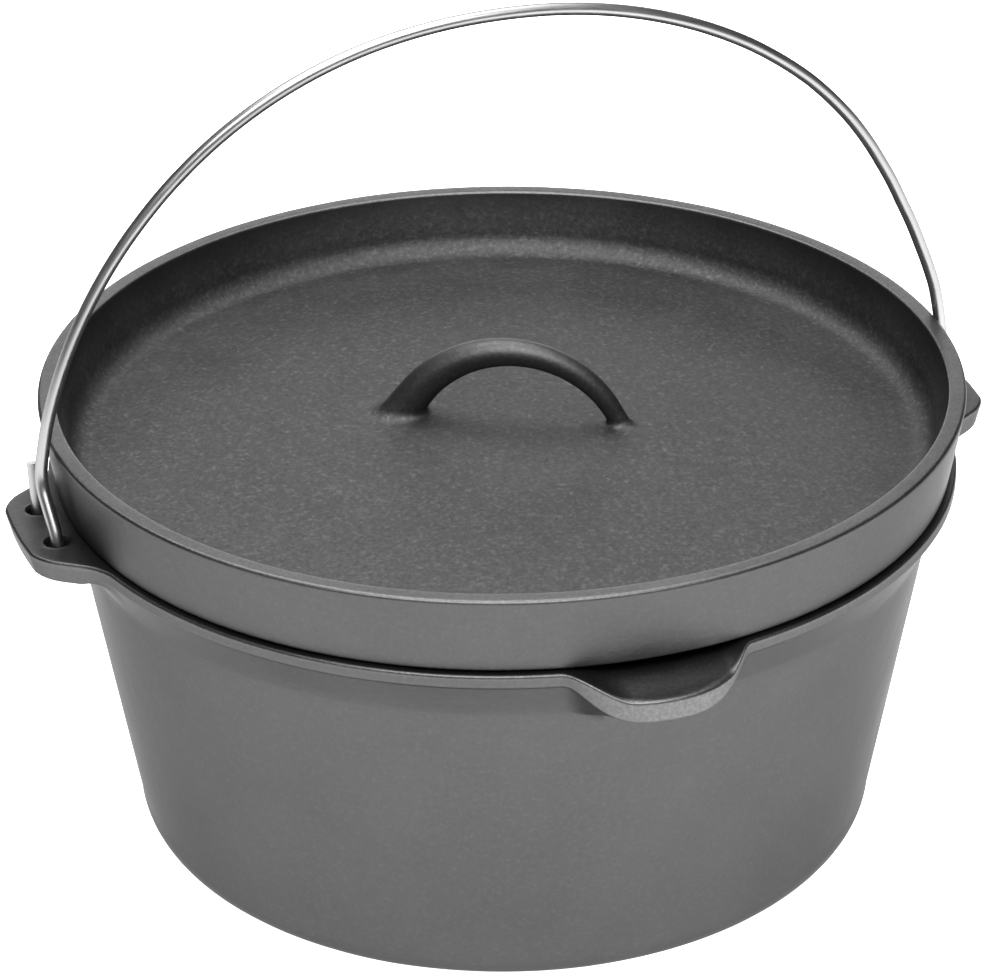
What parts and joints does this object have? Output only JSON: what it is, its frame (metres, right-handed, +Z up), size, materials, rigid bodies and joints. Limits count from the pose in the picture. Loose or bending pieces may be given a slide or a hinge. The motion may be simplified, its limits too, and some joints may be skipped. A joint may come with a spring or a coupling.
{
  "type": "dutch oven",
  "caption": "Cast-iron pot with ears and a pouring spout, a dished lid with a cast loop handle, and a wire bail that swings on the ears.",
  "frame": {"origin": "middle of the pot's base, on the surface that it stands on", "axes": "+Z up; the ears and the axis that the bail swings on lie along X; the pouring spout points along -Y"},
  "size_m": [0.2836, 0.2678, 0.2467],
  "materials": {
    "pot_iron": "sand-cast, oil-seasoned, matte",
    "lid_iron": "sand-cast, oil-seasoned, matte",
    "bail_wire": "bright drawn wire"
  },
  "bodies": {
    "pot": {"pot": "pot_iron"},
    "lid": {"lid": "lid_iron"},
    "bail": {"bail": "bail_wire"}
  },
  "joints": [
    {"name": "lid_lift", "type": "slide", "parent": "pot", "child": "lid", "axis": [0, 0.9063, 0.4226], "range_m": [0, 0.3]},
    {"name": "bail_swing", "type": "hinge", "parent": "pot", "child": "bail", "pos_m": [0, 0, 0.1085], "axis": [1, 0, 0], "range_deg": [0, 45]}
  ]
}
